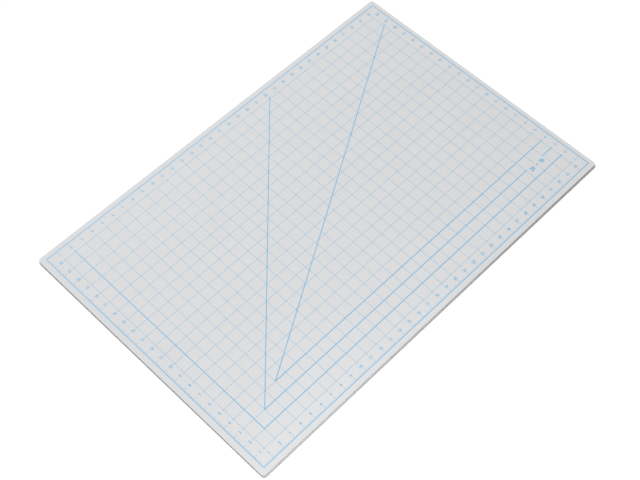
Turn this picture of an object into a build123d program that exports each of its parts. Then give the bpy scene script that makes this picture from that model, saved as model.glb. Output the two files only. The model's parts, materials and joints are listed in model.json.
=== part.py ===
from build123d import *
import math
import os

# A desk cutting mat with a self-healing surface: five bonded plies and one printed layer of ink.
# Frame: the origin is at the centre of the underside, +X runs along the long side, +Y along the
# short side towards the back, and +Z is up. All sizes are in millimetres.

INCH = 25.4

# The printed grid, in whole inches, and the plain margins around it. The sheet is cut after it is
# printed, so the print sits a little off centre.
GRID_COLUMNS = 35
GRID_ROWS = 23
LEFT_MARGIN = 12.0
RIGHT_MARGIN = 8.6
FRONT_MARGIN = 10.9
BACK_MARGIN = 10.3
CORNER_RADIUS = 6.8
RIM_RADIUS = 0.25

# The laminate, from the underside up.
BASE_THICKNESS = 0.3
HEALING_THICKNESS = 0.9
CORE_THICKNESS = 0.6
SKIN_THICKNESS = 0.3

# The ink.
INK_THICKNESS = 0.04
FINE_LINE = 0.55
HEAVY_LINE = 1.5
BORDER_LINE = 1.3

# The border line lies just inside the zero lines, and the ruler ticks run inwards from it. The
# lengths are measured from the zero lines.
TICKS_PER_INCH = 8
FINE_TICK = 0.3
EIGHTH_TICK = 0.16 * INCH
HALF_TICK = 0.23 * INCH
INCH_TICK = 0.33 * INCH

# The grid and the guide lines stop short of the border, and the numerals stand in the gap. These
# insets are inches from the zero lines.
GRID_INSET = 0.82
FRONT_NUMERAL_INSET = 0.54
BACK_NUMERAL_INSET = 0.50
LEFT_NUMERAL_INSET = 0.62
RIGHT_NUMERAL_INSET = 0.48

# The heavy guide lines and the sloping lines, in inches from the grid's front left corner. The
# sloping lines start where the second and the third guide line start. One halves the square
# corner, and the other is 30 degrees from the long side, so 60 degrees from the short side.
LEFT_GUIDE_COLUMN = 2
FRONT_GUIDE_ROW = 2
SECOND_GUIDE_ROW = 3
SECOND_GUIDE_START = 3
THIRD_GUIDE_ROW = 4
THIRD_GUIDE_START = 5
HALVING_SLOPE = 45
SHALLOW_SLOPE = 30

# The size mark stands in a window of the grid and a gap of the second guide line.
MARK_TEXT = "24 x 36"
MARK_COLUMN = 32.05
MARK_ROW = 2.78
WINDOW_LENGTH = 1.9
WINDOW_WIDTH = 0.6

# Characters are pen strokes in a cell CELL_HEIGHT high, and are scaled to their real height.
CELL_HEIGHT = 10
CELL_ADVANCE = 7.1
PEN = 1.9
CONDENSING = 0.82
NUMERAL_HEIGHT = 6.3
MARK_HEIGHT = 9.5

GRID_LENGTH = GRID_COLUMNS * INCH
GRID_WIDTH = GRID_ROWS * INCH
MAT_LENGTH = LEFT_MARGIN + GRID_LENGTH + RIGHT_MARGIN
MAT_WIDTH = FRONT_MARGIN + GRID_WIDTH + BACK_MARGIN

LOWER_PLY_BOTTOM = BASE_THICKNESS
CORE_BOTTOM = LOWER_PLY_BOTTOM + HEALING_THICKNESS
UPPER_PLY_BOTTOM = CORE_BOTTOM + CORE_THICKNESS
SKIN_BOTTOM = UPPER_PLY_BOTTOM + HEALING_THICKNESS
SKIN_TOP = SKIN_BOTTOM + SKIN_THICKNESS


# ---- the laminate ----


def ply(bottom, thickness):
    """One full sheet of the laminate, with its underside at the height bottom."""
    outline = RectangleRounded(MAT_LENGTH, MAT_WIDTH, CORNER_RADIUS)
    return Pos(0, 0, bottom) * extrude(outline, thickness)


def top_skin():
    """The cutting surface, with its upper rim rounded over."""
    skin = ply(SKIN_BOTTOM, SKIN_THICKNESS)
    return fillet(skin.faces().sort_by(Axis.Z)[-1].edges(), RIM_RADIUS)


def non_slip_base():
    """The underside sheet, with its lower rim rounded over."""
    base = ply(0, BASE_THICKNESS)
    return fillet(base.faces().sort_by(Axis.Z)[0].edges(), RIM_RADIUS)


# ---- flat outlines of the print ----


def grid_x(column):
    """X of a place counted in inches from the left zero line."""
    return LEFT_MARGIN - MAT_LENGTH / 2 + column * INCH


def grid_y(row):
    """Y of a place counted in inches from the front zero line."""
    return FRONT_MARGIN - MAT_WIDTH / 2 + row * INCH


def line(start, end, width):
    """A straight line of this width between two (x, y) points, with square ends."""
    run_x = end[0] - start[0]
    run_y = end[1] - start[1]
    middle = Pos((start[0] + end[0]) / 2, (start[1] + end[1]) / 2)
    turn = Rot(0, 0, math.degrees(math.atan2(run_y, run_x)))
    return middle * turn * Rectangle(math.hypot(run_x, run_y), width)


def line_along(row, first, last, width):
    """A line parallel to X on a grid row, from one column to another."""
    return line((grid_x(first), grid_y(row)), (grid_x(last), grid_y(row)), width)


def line_across(column, first, last, width):
    """A line parallel to Y on a grid column, from one row to another."""
    return line((grid_x(column), grid_y(first)), (grid_x(column), grid_y(last)), width)


def sloping_line(column, row, slope):
    """A heavy line that climbs from a grid point at this angle and stops short of the rulers."""
    reach_along = (GRID_COLUMNS - GRID_INSET - column) / math.cos(math.radians(slope))
    reach_across = (GRID_ROWS - GRID_INSET - row) / math.sin(math.radians(slope))
    reach = min(reach_along, reach_across)
    end_column = column + reach * math.cos(math.radians(slope))
    end_row = row + reach * math.sin(math.radians(slope))
    return line((grid_x(column), grid_y(row)), (grid_x(end_column), grid_y(end_row)), HEAVY_LINE)


def fine_lattice():
    """Every fine line of the inch grid, crossing."""
    last_column = GRID_COLUMNS - GRID_INSET
    last_row = GRID_ROWS - GRID_INSET
    rows = [line_along(row, GRID_INSET, last_column, FINE_LINE) for row in range(1, GRID_ROWS)]
    columns = [line_across(column, GRID_INSET, last_row, FINE_LINE) for column in range(1, GRID_COLUMNS)]
    return Sketch() + rows + columns


def tick_size(step):
    """Width and length of the tick that stands this many eighths along a ruler."""
    if step % TICKS_PER_INCH == 0:
        return FINE_LINE, INCH_TICK
    if step % (TICKS_PER_INCH // 2) == 0:
        return FINE_TICK, HALF_TICK
    return FINE_TICK, EIGHTH_TICK


def ruler(inches):
    """A border line along X, mitred at both ends, with its zero line on the axis and ticks to +Y."""
    half_length = inches * INCH / 2
    inner = half_length - BORDER_LINE
    points = [(inner, BORDER_LINE), (half_length, 0), (-half_length, 0), (-inner, BORDER_LINE)]
    # The first tick from each end is left out, because there it would cross the next side's.
    for step in range(2, inches * TICKS_PER_INCH - 1):
        centre = step * INCH / TICKS_PER_INCH - half_length
        width, top = tick_size(step)
        left = centre - width / 2
        right = centre + width / 2
        points += [(left, BORDER_LINE), (left, top), (right, top), (right, BORDER_LINE)]
    return make_face(Polyline(*points, close=True))


# ---- characters ----


def ring(x, y, radius):
    """A full circle drawn with the pen."""
    return Pos(x, y) * (Circle(radius + PEN / 2) - Circle(radius - PEN / 2))


def bend(x, y, radius, start, sweep):
    """Part of a circle drawn with the pen, from the angle start and anticlockwise for sweep."""
    return trace(CenterArc((x, y), radius, start, sweep), PEN)


def draw_characters():
    """The outline of each character, in a cell CELL_HEIGHT high around its own centre."""
    foot = CELL_HEIGHT / 2
    high = foot - PEN / 2
    wide = 2.35
    side = high - wide
    small_bowl = 2.05
    large_bowl = high - small_bowl
    five_bowl = 2.5
    five_stem = -1.76
    spine = 7.5

    zero = bend(0, side, wide, 0, 180) + bend(0, -side, wide, 180, 180)
    zero += line((-wide, -side), (-wide, side), PEN) + line((wide, -side), (wide, side), PEN)

    one = line((0.5, -foot), (0.5, foot), PEN) + line((0.5, foot - 0.8), (-1.7, foot - 2.4), PEN)

    two = bend(0, side, wide, -40, 210) + line((1.8, 0.59), (-wide, -high), PEN)
    two += line((-wide - PEN / 2, -high), (wide + PEN / 2, -high), PEN)

    three = bend(0, high - small_bowl, small_bowl, -90, 240)
    three += bend(0, large_bowl - high, large_bowl, -150, 240)

    four = line((1.1, -foot), (1.1, foot), PEN) + line((1.1, high), (-wide, -1.6), PEN)
    four += line((-wide - PEN / 2, -1.9), (wide + PEN / 2, -1.9), PEN)

    five = bend(-0.15, five_bowl - high, five_bowl, -150, 280)
    five += line((five_stem, -0.3), (five_stem, foot), PEN) + line((five_stem, high), (wide, high), PEN)

    lift = math.degrees(math.asin((2 * high - wide) / spine))
    six = ring(0, -side, wide) + bend(spine - wide, -side, spine, 180 - lift, lift)

    seven = line((-wide - PEN / 2, high), (wide + PEN / 2, high), PEN)
    seven += line((wide, high), (-1.0, -foot), PEN)

    eight = ring(0, high - small_bowl, small_bowl) + ring(0, large_bowl - high, large_bowl)

    times = line((-1.7, -1.7), (1.7, 1.7), PEN) + line((-1.7, 1.7), (1.7, -1.7), PEN)

    nine = Rot(0, 0, 180) * six
    digits = [zero, one, two, three, four, five, six, seven, eight, nine]
    characters = {str(value): outline for value, outline in enumerate(digits)}
    characters["x"] = times
    return characters


CHARACTERS = draw_characters()


def text(words, height, x, y):
    """Outlines of a line of characters of this height, centred on (x, y)."""
    factor = height / CELL_HEIGHT
    narrow = factor * CONDENSING
    outlines = []
    for place, character in enumerate(words):
        if character == " ":
            continue
        shift = (place - (len(words) - 1) / 2) * CELL_ADVANCE * narrow
        outlines.append(Pos(x + shift, y) * scale(CHARACTERS[character], (narrow, factor, 1)))
    return outlines


def numerals_along(row):
    """The inch numbers that stand in a line along X."""
    outlines = []
    for column in range(1, GRID_COLUMNS):
        outlines += text(str(column), NUMERAL_HEIGHT, grid_x(column), grid_y(row))
    return outlines


def numerals_across(column):
    """The inch numbers that stand in a line along Y."""
    outlines = []
    for row in range(1, GRID_ROWS):
        outlines += text(str(row), NUMERAL_HEIGHT, grid_x(column), grid_y(row))
    return outlines


# ---- the print as solid ink ----


def ink(outlines):
    """Ink of even thickness on the top skin, as one group of separate solids."""
    solids = []
    for outline in outlines:
        for face in outline.faces():
            solids += extrude(Pos(0, 0, SKIN_TOP) * face, INK_THICKNESS, dir=(0, 0, 1)).solids()
    return Compound(solids)


def guide_lines():
    """The four heavy guide lines by name. The front one butts against the left one."""
    end = GRID_COLUMNS - GRID_INSET
    back_end = GRID_ROWS - GRID_INSET
    half_line = HEAVY_LINE / 2 / INCH
    left = line_across(LEFT_GUIDE_COLUMN, FRONT_GUIDE_ROW - half_line, back_end, HEAVY_LINE)
    front = line_along(FRONT_GUIDE_ROW, LEFT_GUIDE_COLUMN + half_line, end, HEAVY_LINE)
    second = line_along(SECOND_GUIDE_ROW, SECOND_GUIDE_START, end, HEAVY_LINE) - mark_window()
    third = line_along(THIRD_GUIDE_ROW, THIRD_GUIDE_START, end, HEAVY_LINE)
    return {
        "left_guide_line": left,
        "front_guide_line": front,
        "second_guide_line": second,
        "third_guide_line": third,
    }


def mark_window():
    """The clear patch that the size mark stands in."""
    window = Rectangle(WINDOW_LENGTH * INCH, WINDOW_WIDTH * INCH)
    return Pos(grid_x(MARK_COLUMN), grid_y(MARK_ROW)) * window


def print_outlines():
    """Every printed node by name, as flat outlines that meet but never overlap."""
    printed = guide_lines()
    halving = sloping_line(SECOND_GUIDE_START, SECOND_GUIDE_ROW, HALVING_SLOPE)
    shallow = sloping_line(THIRD_GUIDE_START, THIRD_GUIDE_ROW, SHALLOW_SLOPE)
    printed["angle_line_45"] = halving - printed["second_guide_line"]
    printed["angle_line_60"] = shallow - printed["third_guide_line"]
    printed["inch_grid"] = fine_lattice() - list(printed.values()) - mark_window()

    middle_x = grid_x(GRID_COLUMNS / 2)
    middle_y = grid_y(GRID_ROWS / 2)
    printed["front_ruler"] = Pos(middle_x, grid_y(0)) * ruler(GRID_COLUMNS)
    printed["back_ruler"] = Pos(middle_x, grid_y(GRID_ROWS)) * Rot(0, 0, 180) * ruler(GRID_COLUMNS)
    printed["left_ruler"] = Pos(grid_x(0), middle_y) * Rot(0, 0, -90) * ruler(GRID_ROWS)
    printed["right_ruler"] = Pos(grid_x(GRID_COLUMNS), middle_y) * Rot(0, 0, 90) * ruler(GRID_ROWS)
    return {name: [outline] for name, outline in printed.items()}


def text_outlines():
    """The numerals of each side and the size mark, by node name."""
    return {
        "front_numerals": numerals_along(FRONT_NUMERAL_INSET),
        "back_numerals": numerals_along(GRID_ROWS - BACK_NUMERAL_INSET),
        "left_numerals": numerals_across(LEFT_NUMERAL_INSET),
        "right_numerals": numerals_across(GRID_COLUMNS - RIGHT_NUMERAL_INSET),
        "size_mark": text(MARK_TEXT, MARK_HEIGHT, grid_x(MARK_COLUMN), grid_y(MARK_ROW)),
    }


nodes = {
    "non_slip_base": non_slip_base(),
    "lower_healing_ply": ply(LOWER_PLY_BOTTOM, HEALING_THICKNESS),
    "core_ply": ply(CORE_BOTTOM, CORE_THICKNESS),
    "upper_healing_ply": ply(UPPER_PLY_BOTTOM, HEALING_THICKNESS),
    "top_skin": top_skin(),
}
for name, outlines in {**print_outlines(), **text_outlines()}.items():
    nodes[name] = ink(outlines)

os.makedirs("parts", exist_ok=True)
for name, shape in nodes.items():
    export_step(shape, os.path.join("parts", name + ".step"))
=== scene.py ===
import json
import math

import bmesh
import bpy
from mathutils import Matrix, Vector


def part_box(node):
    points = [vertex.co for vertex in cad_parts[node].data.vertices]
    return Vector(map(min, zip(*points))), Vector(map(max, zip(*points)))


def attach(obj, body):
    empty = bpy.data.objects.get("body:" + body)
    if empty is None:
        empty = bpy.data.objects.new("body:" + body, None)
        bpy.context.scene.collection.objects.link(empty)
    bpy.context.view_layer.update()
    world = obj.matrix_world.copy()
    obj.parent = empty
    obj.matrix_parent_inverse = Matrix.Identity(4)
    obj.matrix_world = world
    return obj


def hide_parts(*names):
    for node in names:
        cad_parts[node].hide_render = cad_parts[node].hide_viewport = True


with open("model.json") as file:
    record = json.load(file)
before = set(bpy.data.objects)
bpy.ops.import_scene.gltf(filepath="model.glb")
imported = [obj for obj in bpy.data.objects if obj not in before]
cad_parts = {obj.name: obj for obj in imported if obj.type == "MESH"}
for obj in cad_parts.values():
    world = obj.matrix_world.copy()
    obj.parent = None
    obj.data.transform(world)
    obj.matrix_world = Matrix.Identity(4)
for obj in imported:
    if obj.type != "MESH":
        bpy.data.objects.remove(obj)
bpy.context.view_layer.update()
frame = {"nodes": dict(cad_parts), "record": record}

MM = 0.001

# The camera looks down over the front left corner, at a point on the skin near its middle.
# Lengths and places are in metres and angles in degrees, unless a name says otherwise.
AIM_X, AIM_Y = -0.0518, -0.0408
DISTANCE = 2.377
AZIMUTH = 44.13
ELEVATION = 58.39
ROLL = 0.49
LENS_MM = 70.85
SENSOR_MM = 36.0
CLIP_END = 200

# One soft lamp beyond the mat's long back edge, an even white room, and a low soft panel in front of
# the left end of the front edge, which lightens the near edges.
KEY_AZIMUTH = 68
KEY_ELEVATION = 36
KEY_SOFTNESS = 10
KEY_STRENGTH = 4.0
ROOM_STRENGTH = 0.30
PANEL_PLACE = (-0.42, -0.90, 0.25)
PANEL_AIM = (-0.30, -0.30, 0.0)
PANEL_SIDE = 0.30
PANEL_POWER = 2.5

# The floor lies just clear of the mat, and reaches so far that a low view doesn't show its end.
FLOOR_REACH = 60.0
FLOOR_GAP = 0.01 * MM
FLOOR_WHITE = 0.95
FLOOR_ROUGHNESS = 0.9
FLOOR_SPECULAR = 0.1

# Finishes: the colours are linear, and a higher roughness is duller.
SKIN_COLOUR = (0.600, 0.603, 0.612)
HEALING_COLOUR = (0.60, 0.60, 0.61)
CORE_COLOUR = (0.46, 0.46, 0.47)
BASE_COLOUR = (0.52, 0.52, 0.53)
INK_COLOUR = (0.075, 0.385, 0.64)
SKIN_SPECULAR = 0.42
HEALING_ROUGHNESS = 0.55
CORE_ROUGHNESS = 0.45

# The cut edge: how far each ply stands back from the widest one, and how round its rims are.
# Each line is the ply's node, its inset, its lower rim radius and its upper rim radius, in mm.
PLY_RIMS = [
    ("non_slip_base", 0.00, 0.20, 0.04),
    ("lower_healing_ply", 0.05, 0.08, 0.08),
    ("core_ply", 0.01, 0.04, 0.04),
    ("upper_healing_ply", 0.05, 0.08, 0.08),
    ("top_skin", 0.00, 0.04, 0.24),
]

# The corner radius of every ply, the same as the CAD's.
CORNER_RADIUS = 6.8 * MM

# How finely a ply is divided: steps in a corner, along a side and round a rim, the flat strip inside
# each rim, and the angle past which an edge between faces is shaded as sharp.
CORNER_STEPS = 20
SIDE_STEPS = 60
RIM_STEPS = 4
FLAT_STRIP = 0.8 * MM
SHARP_ANGLE = 35


# ---- camera, lights and floor ----


def direction(azimuth, elevation):
    """The unit vector towards a place at this azimuth from +X and height above the horizon."""
    azimuth, elevation = math.radians(azimuth), math.radians(elevation)
    level = math.cos(elevation)
    return Vector((math.cos(azimuth) * level, math.sin(azimuth) * level, math.sin(elevation)))


def link(name, data):
    """A new object in the scene that holds this data."""
    thing = bpy.data.objects.new(name, data)
    bpy.context.scene.collection.objects.link(thing)
    return thing


def point_camera():
    """The picture's camera, turned a little about its line of sight."""
    forward = direction(AZIMUTH, -ELEVATION)
    level = forward.cross(Vector((0, 0, 1))).normalized()
    right = Matrix.Rotation(-math.radians(ROLL), 3, forward) @ level
    up = right.cross(forward)
    data = bpy.data.cameras.new("camera")
    data.lens = LENS_MM
    data.sensor_width = SENSOR_MM
    data.clip_end = CLIP_END
    camera = link("camera", data)
    aim = Vector((AIM_X, AIM_Y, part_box("top_skin")[1].z))
    turn = Matrix((right, up, -forward)).transposed().to_4x4()
    camera.matrix_world = Matrix.Translation(aim - forward * DISTANCE) @ turn
    bpy.context.scene.camera = camera


def lamp_turn(offset):
    """The rotation of a lamp that stands at offset from what it lights, and shines back at it."""
    return offset.to_track_quat("Z", "Y").to_euler()


def light_studio():
    world = bpy.data.worlds.new("studio")
    world.use_nodes = True
    background = world.node_tree.nodes["Background"]
    background.inputs["Color"].default_value = (1, 1, 1, 1)
    background.inputs["Strength"].default_value = ROOM_STRENGTH
    bpy.context.scene.world = world

    data = bpy.data.lights.new("key", "SUN")
    data.energy = KEY_STRENGTH
    data.angle = math.radians(KEY_SOFTNESS)
    key = link("key", data)
    key.rotation_euler = lamp_turn(direction(KEY_AZIMUTH, KEY_ELEVATION))

    data = bpy.data.lights.new("panel", "AREA")
    data.size = PANEL_SIDE
    data.energy = PANEL_POWER
    panel = link("panel", data)
    panel.location = PANEL_PLACE
    panel.rotation_euler = lamp_turn(Vector(PANEL_PLACE) - Vector(PANEL_AIM))
    panel.visible_camera = False

    bpy.context.scene.view_settings.view_transform = "Standard"


def lay_floor():
    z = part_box("non_slip_base")[0].z - FLOOR_GAP
    corners = [(x * FLOOR_REACH, y * FLOOR_REACH, z) for x, y in ((-1, -1), (1, -1), (1, 1), (-1, 1))]
    mesh = bpy.data.meshes.new("floor")
    mesh.from_pydata(corners, [], [(0, 1, 2, 3)])
    floor = link("floor", mesh)
    material, shader = new_material("floor_white")
    shader.inputs["Base Color"].default_value = (FLOOR_WHITE, FLOOR_WHITE, FLOOR_WHITE, 1)
    shader.inputs["Roughness"].default_value = FLOOR_ROUGHNESS
    shader.inputs["Specular IOR Level"].default_value = FLOOR_SPECULAR
    mesh.materials.append(material)


# ---- materials ----


def new_material(name):
    """A material that is plain so far, and its shader."""
    material = bpy.data.materials.new(name)
    material.use_nodes = True
    return material, material.node_tree.nodes["Principled BSDF"]


def noise(tree, size_mm, detail=2.0, stretch=(1, 1, 1)):
    """Noise from 0 to 1 whose features are about size_mm wide, drawn out along an axis by stretch."""
    place = tree.nodes.new("ShaderNodeTexCoord")
    spread = tree.nodes.new("ShaderNodeMapping")
    spread.inputs["Scale"].default_value = [1 / (size_mm * MM * factor) for factor in stretch]
    texture = tree.nodes.new("ShaderNodeTexNoise")
    texture.inputs["Scale"].default_value = 1
    texture.inputs["Detail"].default_value = detail
    tree.links.new(place.outputs["Object"], spread.inputs["Vector"])
    tree.links.new(spread.outputs["Vector"], texture.inputs["Vector"])
    return texture.outputs["Fac"]


def pebbles(tree, size_mm):
    """Rounded grains about size_mm across: high in the middle of each grain, low between them."""
    place = tree.nodes.new("ShaderNodeTexCoord")
    texture = tree.nodes.new("ShaderNodeTexVoronoi")
    texture.feature = "SMOOTH_F1"
    texture.inputs["Scale"].default_value = 1 / (size_mm * MM)
    texture.inputs["Smoothness"].default_value = 0.6
    flip = tree.nodes.new("ShaderNodeMath")
    flip.operation = "SUBTRACT"
    flip.inputs[0].default_value = 1
    tree.links.new(place.outputs["Object"], texture.inputs["Vector"])
    tree.links.new(texture.outputs["Distance"], flip.inputs[1])
    return flip.outputs[0]


def spread_between(tree, factor, low, high, start=0.3, end=0.7):
    """A number that goes from low to high as factor goes from start to end."""
    span = tree.nodes.new("ShaderNodeMapRange")
    span.inputs["From Min"].default_value = start
    span.inputs["From Max"].default_value = end
    span.inputs["To Min"].default_value = low
    span.inputs["To Max"].default_value = high
    tree.links.new(factor, span.inputs["Value"])
    return span.outputs["Result"]


def times(tree, first, second):
    """The product of two numbers that vary over the surface."""
    product = tree.nodes.new("ShaderNodeMath")
    product.operation = "MULTIPLY"
    tree.links.new(first, product.inputs[0])
    tree.links.new(second, product.inputs[1])
    return product.outputs[0]


def shaded_colour(tree, colour, shade):
    """The colour, made lighter or darker by the number shade."""
    scale = tree.nodes.new("ShaderNodeVectorMath")
    scale.operation = "SCALE"
    scale.inputs[0].default_value = colour
    tree.links.new(shade, scale.inputs["Scale"])
    return scale.outputs["Vector"]


def relief(tree, shader, heights):
    """Bumps on the surface, from a list of (height from 0 to 1, depth in mm), laid over each other."""
    previous = None
    for height, depth_mm in heights:
        bump = tree.nodes.new("ShaderNodeBump")
        bump.inputs["Distance"].default_value = depth_mm * MM
        tree.links.new(height, bump.inputs["Height"])
        if previous:
            tree.links.new(previous, bump.inputs["Normal"])
        previous = bump.outputs["Normal"]
    tree.links.new(previous, shader.inputs["Normal"])


def skin_material():
    """Matt white vinyl with a fine even grain and very faint clouding from the rolling."""
    material, shader = new_material("skin_white")
    tree = material.node_tree
    clouds = noise(tree, size_mm=90, detail=3, stretch=(2.2, 1, 1))
    specks = noise(tree, size_mm=0.7)
    wear = noise(tree, size_mm=35, detail=4)
    waves = noise(tree, size_mm=160)
    grain = pebbles(tree, size_mm=0.9)
    fine_grain = noise(tree, size_mm=0.35)
    cloud_shade = spread_between(tree, clouds, low=0.992, high=1.008)
    speck_shade = spread_between(tree, specks, low=0.985, high=1.012)
    colour = shaded_colour(tree, SKIN_COLOUR, times(tree, cloud_shade, speck_shade))
    tree.links.new(colour, shader.inputs["Base Color"])
    tree.links.new(spread_between(tree, wear, low=0.55, high=0.59), shader.inputs["Roughness"])
    relief(tree, shader, [(waves, 0.06), (grain, 0.03), (fine_grain, 0.012)])
    shader.inputs["Specular IOR Level"].default_value = SKIN_SPECULAR
    return material


def edge_material(name, colour, roughness):
    """The cut edge of a ply: fine upright drag marks left by the die."""
    material, shader = new_material(name)
    tree = material.node_tree
    drag = noise(tree, size_mm=0.25, detail=3, stretch=(1, 1, 9))
    blotches = noise(tree, size_mm=14, detail=3)
    drag_shade = spread_between(tree, drag, low=0.95, high=1.04)
    blotch_shade = spread_between(tree, blotches, low=0.98, high=1.02)
    varied = shaded_colour(tree, colour, times(tree, drag_shade, blotch_shade))
    tree.links.new(varied, shader.inputs["Base Color"])
    dullness = spread_between(tree, drag, low=roughness - 0.06, high=roughness + 0.08)
    tree.links.new(dullness, shader.inputs["Roughness"])
    relief(tree, shader, [(drag, 0.02)])
    return material


def base_material():
    """The underside: a coarser pebbled grain that grips a table, with painted shade darkening the
    hollows between the grains.
    """
    material, shader = new_material("base_sheet")
    tree = material.node_tree
    grains = pebbles(tree, size_mm=1.6)
    clouds = noise(tree, size_mm=60, detail=3)
    fine_grain = noise(tree, size_mm=0.3)
    # Painted shade: the base colour is darker in the hollows between the grains and lighter on their
    # tops.
    painted_hollow_shade = spread_between(tree, grains, low=0.90, high=1.05, start=0.2, end=0.9)
    cloud_shade = spread_between(tree, clouds, low=0.97, high=1.03)
    colour = shaded_colour(tree, BASE_COLOUR, times(tree, painted_hollow_shade, cloud_shade))
    tree.links.new(colour, shader.inputs["Base Color"])
    dullness = spread_between(tree, grains, low=0.80, high=0.62, start=0.2, end=0.9)
    tree.links.new(dullness, shader.inputs["Roughness"])
    relief(tree, shader, [(grains, 0.10), (fine_grain, 0.015)])
    return material


def ink_material():
    """Screen-print ink: slightly uneven cover, with a soft satin surface."""
    material, shader = new_material("ink_blue")
    tree = material.node_tree
    mesh_marks = noise(tree, size_mm=0.22)
    cover = noise(tree, size_mm=25, detail=3)
    satin = noise(tree, size_mm=1.5, detail=3)
    mark_shade = spread_between(tree, mesh_marks, low=0.90, high=1.10)
    cover_shade = spread_between(tree, cover, low=0.95, high=1.06)
    colour = shaded_colour(tree, INK_COLOUR, times(tree, mark_shade, cover_shade))
    tree.links.new(colour, shader.inputs["Base Color"])
    tree.links.new(spread_between(tree, satin, low=0.34, high=0.48), shader.inputs["Roughness"])
    relief(tree, shader, [(mesh_marks, 0.008)])
    return material


# ---- the laminate ----


def quarter_turn(steps, start=0):
    """The angles of a quarter turn in equal steps, in radians, from start in degrees."""
    return [math.radians(start + 90 * step / steps) for step in range(steps + 1)]


def outline(half_x, half_y, radius):
    """Points anticlockwise around a rounded rectangle, with its straight sides divided."""
    points = []
    corners = [(1, 1, 0), (-1, 1, 90), (-1, -1, 180), (1, -1, 270)]
    for side_x, side_y, start in corners:
        centre = Vector((side_x * (half_x - radius), side_y * (half_y - radius)))
        for angle in quarter_turn(CORNER_STEPS, start):
            points.append(centre + radius * Vector((math.cos(angle), math.sin(angle))))
        run = 2 * (half_x if start in (0, 180) else half_y) - 2 * radius
        along = Vector((math.cos(math.radians(start + 180)), math.sin(math.radians(start + 180))))
        last = points[-1]
        points += [last + along * run * step / SIDE_STEPS for step in range(1, SIDE_STEPS)]
    return points


def rim_profile(low, high, inset, lower_radius, upper_radius):
    """(inset, z) pairs up the edge of a ply, from its underside to its top, round both rims.

    A narrow flat strip at each end keeps the shading of the wide faces level.
    """
    rings = [(inset + lower_radius + FLAT_STRIP, low)]
    for angle in quarter_turn(RIM_STEPS):
        z = low + lower_radius * (1 - math.cos(angle))
        rings.append((inset + lower_radius * (1 - math.sin(angle)), z))
    for angle in quarter_turn(RIM_STEPS):
        z = high - upper_radius * (1 - math.sin(angle))
        rings.append((inset + upper_radius * (1 - math.cos(angle)), z))
    rings.append((inset + upper_radius + FLAT_STRIP, high))
    return rings


def make_ply(node, inset, lower_radius, upper_radius, material):
    """A full sheet of the laminate that stands for its CAD node, with a detailed cut edge."""
    low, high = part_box(node)
    shape = bmesh.new()
    loops = []
    profile = rim_profile(low.z, high.z, inset * MM, lower_radius * MM, upper_radius * MM)
    for ring_inset, z in profile:
        points = outline(high.x - ring_inset, high.y - ring_inset, CORNER_RADIUS - ring_inset)
        loops.append([shape.verts.new((point.x, point.y, z)) for point in points])
    for below, above in zip(loops, loops[1:]):
        for place in range(len(below)):
            after = (place + 1) % len(below)
            shape.faces.new((below[place], below[after], above[after], above[place]))
    shape.faces.new(reversed(loops[0]))
    shape.faces.new(loops[-1])
    for face in shape.faces:
        face.smooth = True
    mesh = bpy.data.meshes.new(node + "_sheet")
    shape.to_mesh(mesh)
    shape.free()
    mesh.set_sharp_from_angle(angle=math.radians(SHARP_ANGLE))
    mesh.materials.append(material)
    piece = link(node + "_sheet", mesh)
    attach(piece, "root")
    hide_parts(node)


# ---- the scene ----

point_camera()
light_studio()
lay_floor()

LOOKS = {
    "skin_white": skin_material(),
    "healing_layer": edge_material("healing_layer", HEALING_COLOUR, HEALING_ROUGHNESS),
    "core_sheet": edge_material("core_sheet", CORE_COLOUR, CORE_ROUGHNESS),
    "base_sheet": base_material(),
    "ink_blue": ink_material(),
}
SLOTS = {part["node"]: part["material_slot"] for part in frame["record"]["subparts"]}

for node, inset, lower_radius, upper_radius in PLY_RIMS:
    make_ply(node, inset, lower_radius, upper_radius, LOOKS[SLOTS[node]])

for node, slot in SLOTS.items():
    mesh = frame["nodes"][node].data
    mesh.materials.clear()
    mesh.materials.append(LOOKS[slot])
